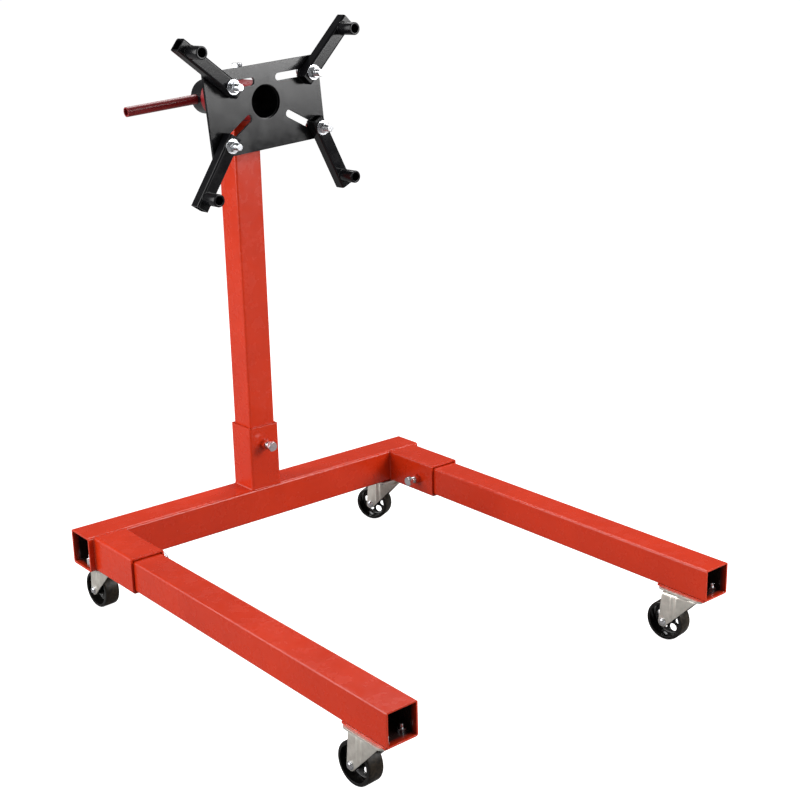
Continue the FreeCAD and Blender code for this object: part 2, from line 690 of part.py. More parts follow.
def make_fork(name, place):
    """The stamped fork: a crown with a raceway, and two ribbed cheeks that come together at the axle."""
    body = new_body(name + "_fork_body")
    cheek = sketch_on(body, "YZ_Plane", name + "_cheek")
    polygon(cheek, [
        ("-fork_nose", CROWN_TOP),
        ("fork_back", CROWN_TOP),
        ("wheel_trail + axle_boss * 0.98", AXLE_Z + " + axle_boss * 0.2"),
        ("wheel_trail", AXLE_Z + " - axle_boss * 0.6"),
        ("wheel_trail - axle_boss * 0.75", AXLE_Z + " - axle_boss * 0.66"),
        ("-fork_nose", CROWN_TOP + " - fork_skirt"),
    ])
    pad(body, cheek, "fork_width", both_ways=True)
    boss = sketch_on(body, "YZ_Plane", name + "_boss")
    circle(boss, "wheel_trail", AXLE_Z, "axle_boss")
    pad(body, boss, "fork_width", both_ways=True)
    for number, start in enumerate(("wheel_trail - axle_boss - rib_width", "wheel_trail - axle_boss - 2.6 * rib_width")):
        rib = sketch_on(body, "YZ_Plane", "%s_rib_%d" % (name, number))
        foot = AXLE_Z + " + axle_boss * %s" % (0.1 + 0.9 * number)
        polygon(rib, [(start, CROWN_TOP + " - 3"), (start + " + rib_width * 0.5", CROWN_TOP + " - 3"),
                      (start + " + rib_width * 0.8", foot), (start + " + rib_width * 0.3", foot)])
        pad(body, rib, "fork_width + 2 * rib_depth", both_ways=True)
    inside = sketch_on(body, "YZ_Plane", name + "_inside")
    polygon(inside, [
        ("-fork_nose - 5", CROWN_UNDER),
        ("fork_back + 15", CROWN_UNDER),
        ("fork_back + 15", AXLE_Z + " - axle_boss - 5"),
        ("-fork_nose - 5", AXLE_Z + " - axle_boss - 5"),
    ])
    pocket(body, inside, "fork_width - 2 * fork_wall", both_ways=True)
    race = sketch_on(body, "XY_Plane", name + "_race")
    circle(race, "0", "0", "raceway_radius")
    rim = pad(body, race, "-(%s) + 0" % CROWN_UNDER)
    rim.Reversed = True
    hollow = sketch_on(body, "XY_Plane", name + "_race_hollow")
    circle(hollow, "0", "0", "raceway_rim")
    pocket(body, hollow, "-(%s)" % CROWN_TOP)
    gap = sketch_on(body, "XY_Plane", name + "_race_gap")
    circle(gap, "0", "0", "raceway_radius + 5")
    pocket(body, gap, "top_plate_thickness + 1.5")
    bore = sketch_on(body, "XY_Plane", name + "_kingpin_bore")
    circle(bore, "0", "0", "kingpin_radius + kingpin_gap")
    pocket(body, bore, "-(%s) + 2" % CROWN_UNDER)
    axle = sketch_on(body, "YZ_Plane", name + "_axle_bore")
    circle(axle, "wheel_trail", AXLE_Z, "axle_radius + 0.1")
    pocket(body, axle, "fork_width + 10", both_ways=True)
    node(name + "_caster_fork", body, place)


def make_wheel(name, place):
    """A moulded wheel: tread, thin web with round holes, and a hub."""
    body = new_body(name + "_wheel_body")
    profile = sketch_on(body, "XZ_Plane", name + "_wheel_profile")
    half = "wheel_width / 2"
    polygon(profile, [
        ("-hub_width / 2", "axle_sleeve_radius + axle_sleeve_gap"),
        ("hub_width / 2", "axle_sleeve_radius + axle_sleeve_gap"),
        ("hub_width / 2", "wheel_hub - 1"),
        ("wheel_web / 2", "wheel_hub"),
        ("wheel_web / 2", "wheel_lip - 1.5"),
        (half + " - 1", "wheel_lip"),
        (half, "wheel_lip + 1"),
        (half, "wheel_radius - 3"),
        (half + " - 1", "wheel_radius - 1"),
        (half + " - 4", "wheel_radius"),
        ("-(%s) + 4" % half, "wheel_radius"),
        ("-(%s) + 1" % half, "wheel_radius - 1"),
        ("-(%s)" % half, "wheel_radius - 3"),
        ("-(%s)" % half, "wheel_lip + 1"),
        ("-(%s) + 1" % half, "wheel_lip"),
        ("-wheel_web / 2", "wheel_lip - 1.5"),
        ("-wheel_web / 2", "wheel_hub"),
        ("-hub_width / 2", "wheel_hub - 1"),
    ])
    turned = body.newObject("PartDesign::Revolution", name + "_wheel_turned")
    turned.Profile = profile
    turned.ReferenceAxis = (profile, ["H_Axis"])
    turned.Angle = 360
    body.Tip = turned
    doc.recompute()
    hole = sketch_on(body, "YZ_Plane", name + "_wheel_hole")
    circle(hole, "wheel_hole_circle * cos(30 deg)", "wheel_hole_circle * sin(30 deg)", "wheel_hole_radius")
    first = pocket(body, hole, "wheel_web + 4", both_ways=True)
    ring = body.newObject("PartDesign::PolarPattern", name + "_wheel_holes")
    ring.Originals = [first]
    ring.Axis = (hole, ["N_Axis"])
    ring.Angle = 360
    ring.Occurrences = WHEEL_HOLES
    body.Tip = ring
    doc.recompute()
    body.Placement = at("0", "wheel_trail", AXLE_Z)
    node(name + "_caster_wheel", body, place)


def make_axle(name, place):
    """The sleeve clamped between the cheeks, and the bolt and nut through them."""
    inside = "(fork_width - 2 * fork_wall)"
    sleeve = cut(rod("axle_sleeve_radius", inside, "-%s / 2" % inside, "wheel_trail", AXLE_Z, TO_RIGHT),
                 rod("axle_radius + 0.1", "fork_width", "-fork_width / 2", "wheel_trail", AXLE_Z, TO_RIGHT))
    node(name + "_axle_sleeve", group(sleeve), place)
    screw = bolt("axle_radius", "fork_width + axle_head + axle_end", "axle_hex", "axle_head")
    screw.Placement = at("-fork_width / 2", "wheel_trail", AXLE_Z, TO_LEFT)
    lock = nut("axle_hex", "axle_head", "axle_radius + thread_gap")
    lock.Placement = at("fork_width / 2", "wheel_trail", AXLE_Z, TO_RIGHT)
    node(name + "_axle_bolt", group(screw, lock), place)


def make_swivels(places):
    """The kingpins and the ball sets, one of each for every caster."""
    pins, balls = [], []
    for place in places:
        shank = rod("kingpin_radius", "-%s + ball_gap" % CROWN_UNDER, z=CROWN_UNDER + " - ball_gap")
        head = rod("kingpin_head", "kingpin_head_height", z=CROWN_UNDER + " - ball_gap - kingpin_head_height")
        pin_solid = fuse(shank, head)
        pin_solid.Placement = place
        pins.append(pin_solid)
        for number in range(BALLS):
            turn = 2 * math.pi * number / BALLS
            ball = doc.addObject("Part::Sphere", "ball")
            bind(ball, Radius="ball_radius")
            reach = size("ball_circle")
            level = size("-top_plate_thickness - ball_gap - ball_radius")
            ball.Placement = place.multiply(Placement(
                Vector(reach * math.cos(turn), reach * math.sin(turn), level), Rotation()))
            balls.append(ball)
    node("caster_kingpins", group(*pins))
    node("caster_balls", group(*balls))


def make_plate_bolts(row, members):
    """The bolts and nuts that hold one row of casters; their heads are under the plates."""
    things = []
    for name, x, y, across, turn in members:
        clamped = "tube_wall" if across else "tube_wall + leg_wall"
        for dx, dy in plate_bolt_places(across):
            place = at("(%s) + (%s)" % (x, dx), "(%s) + (%s)" % (y, dy), "base_z - top_plate_thickness", DOWN)
            shank = "(top_plate_thickness + %s + plate_bolt_nut + plate_bolt_end)" % clamped
            screw = bolt("plate_bolt_radius", shank, "plate_bolt_hex", "plate_bolt_head")
            screw.Placement = place
            holder = nut("plate_bolt_hex", "plate_bolt_nut", "plate_bolt_radius + thread_gap")
            holder.Placement = at("(%s) + (%s)" % (x, dx), "(%s) + (%s)" % (y, dy), "base_z + " + clamped)
            things += [screw, holder]
    node(row + "_plate_bolts", group(*things))


def make_casters():
    places = []
    for name, x, y, across, turn in CASTERS:
        plate_place = at(x, y, "base_z")
        place = at(x, y, "base_z", Rotation(Z_AXIS, turn))
        places.append(plate_place)
        make_top_plate(name, plate_place, across)
        make_fork(name, place)
        make_wheel(name, place)
        make_axle(name, place)
    make_swivels(places)
    make_plate_bolts("front", CASTERS[:2])
    make_plate_bolts("rear", CASTERS[2:])


# ---------------------------------------------------------------------------------------------------
# Build, check and write
# ---------------------------------------------------------------------------------------------------

make_cross_tube()
for side, sign in SIDES:
    make_leg(side, sign)
make_post()
make_receiver()
make_set_bolts()
make_barrel()
make_head_plate()
make_handle()
for arm in ARMS:
    make_arm(*arm)
make_casters()

doc.recompute()

faults = ["%s is %s" % (thing.Label, state) for thing in doc.Objects for state in thing.State
          if state in ("Invalid", "Error")]
for name, thing in nodes.items():
    if thing.Shape.isNull() or not thing.Shape.isValid() or not thing.Shape.Solids:
        faults.append(name + " has no valid shape")
if faults:
    raise RuntimeError("; ".join(faults))

os.makedirs("parts", exist_ok=True)
for name, thing in nodes.items():
    thing.Shape.exportStep("parts/%s.step" % name)

whole = Part.makeCompound([thing.Shape for thing in nodes.values()]).BoundBox
print(len(nodes), "nodes, x %.2f to %.2f, y %.2f to %.2f, z %.2f to %.2f"
      % (whole.XMin, whole.XMax, whole.YMin, whole.YMax, whole.ZMin, whole.ZMax))
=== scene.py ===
# %% [markdown]
# # An engine stand
# The stand is a welded frame of square tubes on four swivel casters. A post carries a round receiver, and in
# it turns a head: a slotted plate with four arms that bolt to an engine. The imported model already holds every
# piece at its real size, so this lesson loads it as a fixed frame, rebuilds the pieces whose shape needs more
# than plain solids, adds the welds and threads, and gives every surface its finish.

# %% Load the frame
import json
import math

import bmesh
import bpy
from mathutils import Matrix, Vector


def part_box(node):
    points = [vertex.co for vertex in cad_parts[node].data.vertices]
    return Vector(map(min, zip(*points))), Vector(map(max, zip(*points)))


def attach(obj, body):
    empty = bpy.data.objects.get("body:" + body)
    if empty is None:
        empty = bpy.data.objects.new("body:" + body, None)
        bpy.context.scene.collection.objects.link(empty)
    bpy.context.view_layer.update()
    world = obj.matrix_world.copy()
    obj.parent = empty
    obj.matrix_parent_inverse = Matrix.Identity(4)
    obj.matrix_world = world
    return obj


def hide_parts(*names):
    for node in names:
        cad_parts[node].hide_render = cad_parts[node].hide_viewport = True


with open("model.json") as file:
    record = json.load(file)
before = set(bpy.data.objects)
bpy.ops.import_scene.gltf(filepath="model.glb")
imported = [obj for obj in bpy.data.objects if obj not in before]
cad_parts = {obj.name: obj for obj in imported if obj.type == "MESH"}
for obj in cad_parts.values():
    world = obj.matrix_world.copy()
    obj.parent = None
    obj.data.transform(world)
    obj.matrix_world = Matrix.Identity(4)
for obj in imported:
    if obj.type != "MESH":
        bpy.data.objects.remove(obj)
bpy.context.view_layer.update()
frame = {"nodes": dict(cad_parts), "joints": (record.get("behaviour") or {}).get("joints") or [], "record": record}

nodes = frame["nodes"]
joint = {entry["name"]: entry for entry in frame["joints"]}
MM = 0.001

# %% [markdown]
# ## Camera
# The camera stands in front of the left leg, a little above the head, and looks down at the middle of the
# stand. It is set first, because what shows in its view decides where detail is worth the work. A long lens
# from two and a half metres keeps the tubes nearly parallel.

# %% Place the camera
VIEW_AZIMUTH = math.radians(-39.513)
VIEW_ELEVATION = math.radians(17.002)
VIEW_ROLL = math.radians(-1.289)
VIEW_DISTANCE = 2.6262
VIEW_TARGET = Vector((0.1046, 0.049, 0.415))

back = Vector((math.sin(VIEW_AZIMUTH) * math.cos(VIEW_ELEVATION),
               -math.cos(VIEW_AZIMUTH) * math.cos(VIEW_ELEVATION),
               math.sin(VIEW_ELEVATION)))
level = (-back).cross(Vector((0, 0, 1))).normalized()
upright = level.cross(-back)
right = level * math.cos(VIEW_ROLL) + upright * math.sin(VIEW_ROLL)
up = upright * math.cos(VIEW_ROLL) - level * math.sin(VIEW_ROLL)
bpy.ops.object.camera_add(location=VIEW_TARGET + back * VIEW_DISTANCE)
camera = bpy.context.object
camera.rotation_euler = Matrix((right, up, back)).transposed().to_euler()
camera.data.lens = 61.75
camera.data.sensor_width = 36
camera.data.clip_start = 0.05
camera.data.clip_end = 400
bpy.context.scene.camera = camera
print("camera at", [round(value, 3) for value in camera.location])

# %% [markdown]
# ## Studio
# A stand like this is shown on a pale floor under soft boxes. The floor is one large plane, so wide that its
# edge can't be seen. A floor this bright would throw so much light back that the black head turned grey, so a
# light path node lets the floor look bright, but bounce less. It's a studio's trick of black cards beside the
# object, made with one node.

# %% Lay the floor
bpy.ops.mesh.primitive_plane_add(size=300, location=(0, 0, 0))
floor = bpy.context.object
floor.name = "studio_floor"
floor_paint = bpy.data.materials.new("studio floor paint")
floor_paint.use_nodes = True
floor_tree = floor_paint.node_tree
floor_shader = floor_tree.nodes["Principled BSDF"]
floor_shader.inputs["Roughness"].default_value = 0.9
floor_shader.inputs["Specular IOR Level"].default_value = 0.05
floor_shader.inputs["Emission Color"].default_value = (1, 1, 1, 1)
path = floor_tree.nodes.new("ShaderNodeLightPath")
for socket, bounced, seen in (("Base Color", 0.30, 0.50), ("Emission Strength", 0.0, 0.96)):
    level_node = floor_tree.nodes.new("ShaderNodeMapRange")
    level_node.inputs["To Min"].default_value = bounced
    level_node.inputs["To Max"].default_value = seen
    floor_tree.links.new(path.outputs["Is Camera Ray"], level_node.inputs["Value"])
    floor_tree.links.new(level_node.outputs["Result"], floor_shader.inputs[socket])
floor.data.materials.append(floor_paint)
print("floor", floor.dimensions[:])

# %% [markdown]
# The sky looks white but lights as a dark grey, by the same trick, and soft boxes do the rest. The one behind
# on the left lights the left faces, and the two in front on the right light the front ones, so the inner
# corner between the tubes falls into the shade. The near one stands just where the head's front faces mirror
# it, and a dim card under it makes the shine fade down the plate. The one high up behind lights the tops, and
# draws the bright line along the round edge of each tube.

# %% Hang the lights
sky = bpy.data.worlds.new("studio sky")
sky.use_nodes = True
sky.node_tree.nodes["Background"].inputs["Color"].default_value = (1, 1, 1, 1)
sky_path = sky.node_tree.nodes.new("ShaderNodeLightPath")
sky_level = sky.node_tree.nodes.new("ShaderNodeMapRange")
sky_level.inputs["To Min"].default_value = 0.13
sky_level.inputs["To Max"].default_value = 1.0
sky.node_tree.links.new(sky_path.outputs["Is Camera Ray"], sky_level.inputs["Value"])
sky.node_tree.links.new(sky_level.outputs["Result"], sky.node_tree.nodes["Background"].inputs["Strength"])
bpy.context.scene.world = sky
bpy.context.scene.view_settings.view_transform = "Standard"


def soft_box(name, place, aim, wide, high, power):
    """Hang a soft box at a place, turned to face the aim. It lights the stand, but doesn't show itself."""
    bpy.ops.object.light_add(type="AREA", location=place)
    box = bpy.context.object
    box.name = name
    box.data.shape = "RECTANGLE"
    box.data.size = wide
    box.data.size_y = high
    box.data.energy = power
    box.visible_camera = False
    box.rotation_euler = (Vector(aim) - Vector(place)).to_track_quat("-Z", "Y").to_euler()
    return box


soft_box("left_box", (-3.3, 1.6, 1.9), (0, 0, 0.4), 4.0, 3.4, 205)
soft_box("front_box", (1.75, -2.25, 1.62), (0.05, 0.3, 1.05), 1.3, 1.35, 62)
soft_box("front_card", (1.72, -2.2, 0.80), (0.05, 0.3, 0.9), 1.3, 0.3, 1.9)
soft_box("far_front_box", (1.9, -4.4, 2.0), (0, 0, 0.3), 4.8, 3.2, 102)
soft_box("back_box", (1.5, 1.8, 3.5), (0, 0, 0.2), 2.6, 1.8, 85)

# %% [markdown]
# ## Finishes
# Every finish starts from the same recipe: a shader, a fine bump for the texture of the coating, and a slow
# noise that keeps the colour and the gloss from being dead even. A bevel node rounds the sharp edges in the
# light, and the difference between that rounded normal and the true one marks the edges. The finishes paint
# those edges lighter: a painted highlight, which stands also for a thinner powder coat and for worn plastic.

# %% Tools for finishes
class Finish:
    """A material with its nodes close at hand."""

    def __init__(self, name):
        self.material = bpy.data.materials.new(name)
        self.material.use_nodes = True
        self.tree = self.material.node_tree
        self.shader = self.tree.nodes["Principled BSDF"]
        self.place = self.node("ShaderNodeTexCoord").outputs["Object"]

    def node(self, kind, **settings):
        made = self.tree.nodes.new(kind)
        for name, value in settings.items():
            setattr(made, name, value)
        return made

    def join(self, output, socket):
        self.tree.links.new(output, socket)

    def noise(self, scale, detail=3.0, rough=0.55, stretch=None):
        """A noise with that many grains to the metre, stretched if asked."""
        made = self.node("ShaderNodeTexNoise")
        made.inputs["Scale"].default_value = scale
        made.inputs["Detail"].default_value = detail
        made.inputs["Roughness"].default_value = rough
        source = self.place
        if stretch:
            mapping = self.node("ShaderNodeMapping")
            mapping.inputs["Scale"].default_value = stretch
            self.join(source, mapping.inputs["Vector"])
            source = mapping.outputs["Vector"]
        self.join(source, made.inputs["Vector"])
        return made.outputs["Fac"]

    def spread(self, value, low, high, out_low, out_high):
        """Spread part of a value's range over another range, and clamp it."""
        made = self.node("ShaderNodeMapRange")
        made.inputs["From Min"].default_value = low
        made.inputs["From Max"].default_value = high
        made.inputs["To Min"].default_value = out_low
        made.inputs["To Max"].default_value = out_high
        self.join(value, made.inputs["Value"])
        return made.outputs["Result"]

    def blend(self, amount, first, second):
        """Blend two colours, each a tuple or an output."""
        made = self.node("ShaderNodeMix", data_type="RGBA")
        self.join(amount, made.inputs["Factor"])
        for name, value in (("A", first), ("B", second)):
            socket = [one for one in made.inputs if one.name == name and one.type == "RGBA"][0]
            if isinstance(value, tuple):
                socket.default_value = (*value, 1)
            else:
                self.join(value, socket)
        return [one for one in made.outputs if one.type == "RGBA"][0]

    def edges(self, radius):
        """A rounded normal, and how far it leans from the true one."""
        rounded = self.node("ShaderNodeBevel", samples=6)
        rounded.inputs["Radius"].default_value = radius
        true = self.node("ShaderNodeNewGeometry")
        lean = self.node("ShaderNodeVectorMath", operation="DOT_PRODUCT")
        self.join(rounded.outputs["Normal"], lean.inputs[0])
        self.join(true.outputs["Normal"], lean.inputs[1])
        mask = self.spread(lean.outputs["Value"], 0.995, 0.80, 0.0, 1.0)
        return rounded.outputs["Normal"], mask

    def inside(self, middle, half):
        """One inside a box and zero outside it, with a ragged border along its longest way."""
        away = self.node("ShaderNodeVectorMath", operation="SUBTRACT")
        self.join(self.place, away.inputs[0])
        away.inputs[1].default_value = middle
        size = self.node("ShaderNodeVectorMath", operation="ABSOLUTE")
        self.join(away.outputs["Vector"], size.inputs[0])
        over = self.node("ShaderNodeVectorMath", operation="SUBTRACT")
        self.join(size.outputs["Vector"], over.inputs[0])
        over.inputs[1].default_value = half
        parts = self.node("ShaderNodeSeparateXYZ")
        self.join(over.outputs["Vector"], parts.inputs["Vector"])
        longest = max(range(3), key=lambda axis: half[axis])
        mask = None
        for axis in range(3):
            reach = (-9 * MM, 3 * MM) if axis == longest else (-0.02 * MM, 0.02 * MM)
            step = self.spread(parts.outputs[axis], *reach, 1.0, 0.0)
            if mask is None:
                mask = step
            else:
                both = self.node("ShaderNodeMath", operation="MULTIPLY")
                self.join(mask, both.inputs[0])
                self.join(step, both.inputs[1])
                mask = both.outputs["Value"]
        return mask

    def bump(self, height, strength, distance, under=None):
        """A bump from a height, laid over another normal if given."""
        made = self.node("ShaderNodeBump")
        made.inputs["Strength"].default_value = strength
        made.inputs["Distance"].default_value = distance
        self.join(height, made.inputs["Height"])
        if under is not None:
            self.join(under, made.inputs["Normal"])
        return made.outputs["Normal"]

    def set(self, **values):
        """Set the shader's plain values or join outputs to it."""
        names = {"color": "Base Color", "metal": "Metallic", "rough": "Roughness", "normal": "Normal",
                 "coat": "Coat Weight", "coat_rough": "Coat Roughness", "specular": "Specular IOR Level",
                 "ior": "IOR"}
        for name, value in values.items():
            socket = self.shader.inputs[names[name]]
            if isinstance(value, bpy.types.NodeSocket):
                self.join(value, socket)
            elif isinstance(value, tuple):
                socket.default_value = (*value, 1)
            else:
                socket.default_value = value


print("finish tools ready")

# %% [markdown]
# ### Powder coat
# The tubes are coated in an orange red and the head in a glossy black. Powder melts into a skin with a faint
# orange peel, about a millimetre across, that breaks up reflections. The edges are painted lighter, as a
# thinner coat and as a painted highlight, and a few fine nibs of dust are baked in. The handle has a darker,
# older red, and the receiver wears the same dark red, partly its own colour and partly painted shade.

# %% Mix the powder coats
def powder_coat(name, main, shade, edge, gloss, peel, shine=0.5, bore=None):
    """A coloured powder coat with orange peel, nibs, and edges painted lighter: thin coat and painted highlight.

    The shine is the shader's specular level, and 0.5 mirrors about 4% of the light that meets it head on. A
    bore gives the middle and the half size of a tube's inside, which is painted near black: painted shade for
    the dark inside, standing also for bare steel that the powder hardly reaches.
    """
    coat = Finish(name)
    rounded, edge_mask = coat.edges(0.9 * MM)
    cloud = coat.spread(coat.noise(7, 4), 0.35, 0.68, 0.0, 1.0)
    streak = coat.spread(coat.noise(26, 3), 0.3, 0.8, 0.0, 0.4)
    colour = coat.blend(cloud, main, shade)
    colour = coat.blend(streak, colour, tuple(0.86 * part for part in main))
    nibs = coat.spread(coat.noise(800, 1), 0.74, 0.82, 0.0, 0.4)
    colour = coat.blend(nibs, colour, shade)
    # Edges painted lighter: a thinner coat, and a painted highlight along each edge.
    thin = coat.node("ShaderNodeMath", operation="MULTIPLY")
    coat.join(edge_mask, thin.inputs[0])
    coat.join(coat.spread(coat.noise(60, 3), 0.35, 0.6, 0.25, 0.85), thin.inputs[1])
    colour = coat.blend(thin.outputs["Value"], colour, edge)
    # Inside a tube past its mouth the colour turns near black: painted shade, and bare steel as well.
    if bore:
        colour = coat.blend(coat.inside(*bore), colour, BARE_STEEL_AND_INNER_SHADE)
    height = coat.node("ShaderNodeMath", operation="MULTIPLY_ADD")
    coat.join(coat.noise(900, 2), height.inputs[0])
    height.inputs[1].default_value = 0.7
    coat.join(coat.noise(260, 2), height.inputs[2])
    normal = coat.bump(height.outputs["Value"], peel, 0.12 * MM, rounded)
    rough = coat.spread(coat.noise(35, 4), 0.3, 0.7, gloss - 0.05, gloss + 0.07)
    coat.set(color=colour, rough=rough, normal=normal, specular=shine)
    return coat.material


# Painted shade for a tube's dark inside, standing also for bare steel.
BARE_STEEL_AND_INNER_SHADE = (0.022, 0.011, 0.010)
# In RED and BLACK the third colour is the edge colour, lighter as a thinner coat and as a painted highlight.
RED = ((0.63, 0.032, 0.004), (0.54, 0.026, 0.004), (0.80, 0.11, 0.05), 0.25, 0.35, 0.42)
red_coat = powder_coat("orange red powder coat", *RED)
# Dark red of the handle; on the receiver the same red is partly painted shade.
dark_red_and_receiver_shade = powder_coat("dark red paint of the handle", (0.29, 0.012, 0.016), (0.22, 0.009, 0.012),
                         (0.45, 0.06, 0.06), 0.30, 0.3)
BLACK = ((0.006, 0.006, 0.007), (0.004, 0.004, 0.005), (0.05, 0.05, 0.055))
black_coat = powder_coat("glossy black powder coat", *BLACK, 0.17, 0.22)
arm_black = powder_coat("thin black powder coat of the arms", *BLACK, 0.15, 0.35, 0.19)
print("powder coats:", red_coat.name, dark_red_and_receiver_shade.name, black_coat.name, arm_black.name)

# %% [markdown]
# The inside of each open tube, from a finger's width past its mouth, is painted near black. This is painted
# shade for the dark inside of the tube, and stands also for bare steel, as the charged powder flies to the
# nearest edge and hardly reaches in. Each open tube has its own copy of the red coat, which knows where that
# tube's inside is.

# %% Mix the coats of the open tubes
TUBE_WALL = {"left_leg": 3 * MM, "right_leg": 3 * MM, "cross_tube": 4 * MM}
open_tubes = {}
for name, wall in TUBE_WALL.items():
    low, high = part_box(name)
    half = (high - low) / 2
    mouth = max(range(3), key=lambda axis: half[axis])
    bore = Vector([side - wall + 0.25 * MM for side in half])
    bore[mouth] = half[mouth] - 4 * MM
    # Each copy paints its tube's inside near black, as painted shade.
    open_tubes[name] = powder_coat("orange red powder coat of the " + name.replace("_", " "), *RED,
                                   bore=((low + high) / 2, bore))
print("open tubes:", list(open_tubes))

# %% [markdown]
# ### Zinc plate
# Bolts, nuts and washers are bright zinc: a mirror-like metal with a slight blue, broken by turning marks.
# The caster forks and plates are stamped from sheet and plated duller and warmer, with the faint lines of the
# rolled sheet and a few grey stains.

# %% Mix the zinc plates
def zinc_plate(name, bright, dull, rough_low, rough_high, grain, metal):
    """A plated metal with stains, a painted edge highlight and a fine grain."""
    plate = Finish(name)
    rounded, edge_mask = plate.edges(0.45 * MM)
    stain = plate.spread(plate.noise(70, 4, 0.6), 0.38, 0.66, 0.0, 1.0)
    colour = plate.blend(stain, bright, dull)
    # Edges painted brighter: a painted highlight.
    colour = plate.blend(edge_mask, colour, tuple(min(1.0, 1.12 * part) for part in bright))
    fine = plate.noise(2600, 2, 0.5, grain)
    normal = plate.bump(fine, 0.16, 0.04 * MM, rounded)
    rough = plate.spread(plate.noise(140, 3), 0.3, 0.7, rough_low, rough_high)
    plate.set(color=colour, metal=metal, rough=rough, normal=normal)
    return plate.material


bolt_zinc = zinc_plate("bright zinc of the bolts", (0.76, 0.77, 0.79), (0.56, 0.57, 0.60), 0.13, 0.26,
                       (1, 1, 1), 1.0)
fork_zinc = zinc_plate("dull zinc of the casters", (0.82, 0.79, 0.72), (0.66, 0.63, 0.57), 0.30, 0.44,
                       (0.12, 1, 0.12), 0.75)
print("zinc plates:", bolt_zinc.name, fork_zinc.name)

# %% [markdown]
# ### Wheel plastic
# The wheels are moulded in a hard black plastic. Their sides come out of a polished mould and shine. The
# tread has rolled over a floor, so it is scuffed, brownish and dull, with fine scratches round it.

# %% Mix the wheel plastics
def wheel_plastic(name, main, worn, rough_low, rough_high, peel, shine):
    """A moulded plastic, clean or worn, with edges painted lighter as wear and as a painted highlight."""
    plastic = Finish(name)
    rounded, edge_mask = plastic.edges(0.5 * MM)
    scuff = plastic.spread(plastic.noise(160, 4, 0.62), 0.42, 0.66, 0.0, 1.0)
    colour = plastic.blend(scuff, main, worn)
    # Edges painted lighter than the scuffs: wear, and a painted highlight.
    colour = plastic.blend(edge_mask, colour, tuple(1.6 * part for part in worn))
    height = plastic.noise(1500, 3)
    normal = plastic.bump(height, peel, 0.08 * MM, rounded)
    rough = plastic.spread(plastic.noise(220, 3), 0.3, 0.7, rough_low, rough_high)
    plastic.set(color=colour, rough=rough, normal=normal, specular=shine)
    return plastic.material


wheel_black = wheel_plastic("polished black wheel plastic", (0.003, 0.003, 0.003), (0.008, 0.007, 0.006),
                            0.10, 0.20, 0.15, 0.4)
wheel_tread = wheel_plastic("scuffed tread of the wheels", (0.009, 0.007, 0.005), (0.030, 0.022, 0.014),
                            0.30, 0.48, 0.6, 0.16)
print("wheel plastics:", wheel_black.name, wheel_tread.name)

# %% [markdown]
# ### Dress the frame's own pieces
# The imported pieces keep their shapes, and only the material in their slot changes. The record's slot name
# says which finish each piece has, and the casters' stampings and the arms are told apart by their names.

# %% Give each node its finish
finish_of_slot = {
    "red_powder_coat": red_coat,
    # The receiver's slot is dark_red_paint too, so its darker red is partly painted shade.
    "dark_red_paint": dark_red_and_receiver_shade,
    "black_powder_coat": black_coat,
    "zinc_plate": bolt_zinc,
    "wheel_polyolefin": wheel_black,
}
slot_of_node = {entry["node"]: entry["material_slot"] for entry in frame["record"]["subparts"]}
for name, piece in nodes.items():
    finish = finish_of_slot[slot_of_node[name]]
    if name.endswith(("_caster_plate", "_caster_fork")):
        finish = fork_zinc
    if name.endswith("_arm"):
        finish = arm_black
    finish = open_tubes.get(name, finish)
    for place in piece.material_slots:
        place.material = finish
print("finished", len(nodes), "nodes")

# %% [markdown]
# ## Modelling by hand
# New pieces are made as they would be at the screen: add a primitive, go into edit mode, pick faces or edges
# by where they are, and inset, extrude or bevel them. The helpers here do the picking. Nothing may be
# selected before a primitive is added, because an operator acts on all that is.

# %% Tools for picking
def clear():
    """Leave edit mode and let go of everything."""
    if bpy.context.mode != "OBJECT":
        bpy.ops.object.mode_set(mode="OBJECT")
    bpy.ops.object.select_all(action="DESELECT")


def hold(piece):
    """Select one piece and make it the active one."""
    clear()
    piece.select_set(True)
    bpy.context.view_layer.objects.active = piece


def edit(piece):
    """Go into edit mode on one piece with nothing picked."""
    hold(piece)
    bpy.ops.object.mode_set(mode="EDIT")
    bpy.ops.mesh.select_all(action="DESELECT")


def pick(piece, kind, test):
    """Pick the faces, edges or points whose middle passes the test."""
    bpy.ops.mesh.select_mode(type={"faces": "FACE", "edges": "EDGE", "verts": "VERT"}[kind])
    bpy.ops.mesh.select_all(action="DESELECT")
    shell = bmesh.from_edit_mesh(piece.data)
    count = 0
    for part in getattr(shell, kind):
        if kind == "faces":
            chosen = test(part.calc_center_median(), part.normal)
        elif kind == "edges":
            chosen = test((part.verts[0].co + part.verts[1].co) / 2, part.verts[1].co - part.verts[0].co)
        else:
            chosen = test(part.co)
        if chosen:
            part.select_set(True)
            count += 1
    bmesh.update_edit_mesh(piece.data)
    return count


def settle(piece):
    """Leave edit mode, and move the piece's place into its mesh."""
    hold(piece)
    bpy.ops.object.transform_apply(location=True, rotation=True, scale=True)
    return piece


def modify(piece, kind, **settings):
    """Add a modifier with its settings and apply it."""
    hold(piece)
    modifier = piece.modifiers.new(kind.lower(), kind)
    for name, value in settings.items():
        setattr(modifier, name, value)
    bpy.ops.object.modifier_apply(modifier=modifier.name)


def tidy_mesh(piece):
    """Merge doubles and turn all the faces outwards."""
    edit(piece)
    bpy.ops.mesh.select_all(action="SELECT")
    bpy.ops.mesh.remove_doubles(threshold=0.01 * MM)
    bpy.ops.mesh.normals_make_consistent(inside=False)
    clear()


def smooth(piece, angle=35):
    """Shade smooth, except across edges sharper than the angle."""
    hold(piece)
    bpy.ops.object.shade_smooth_by_angle(angle=math.radians(angle))


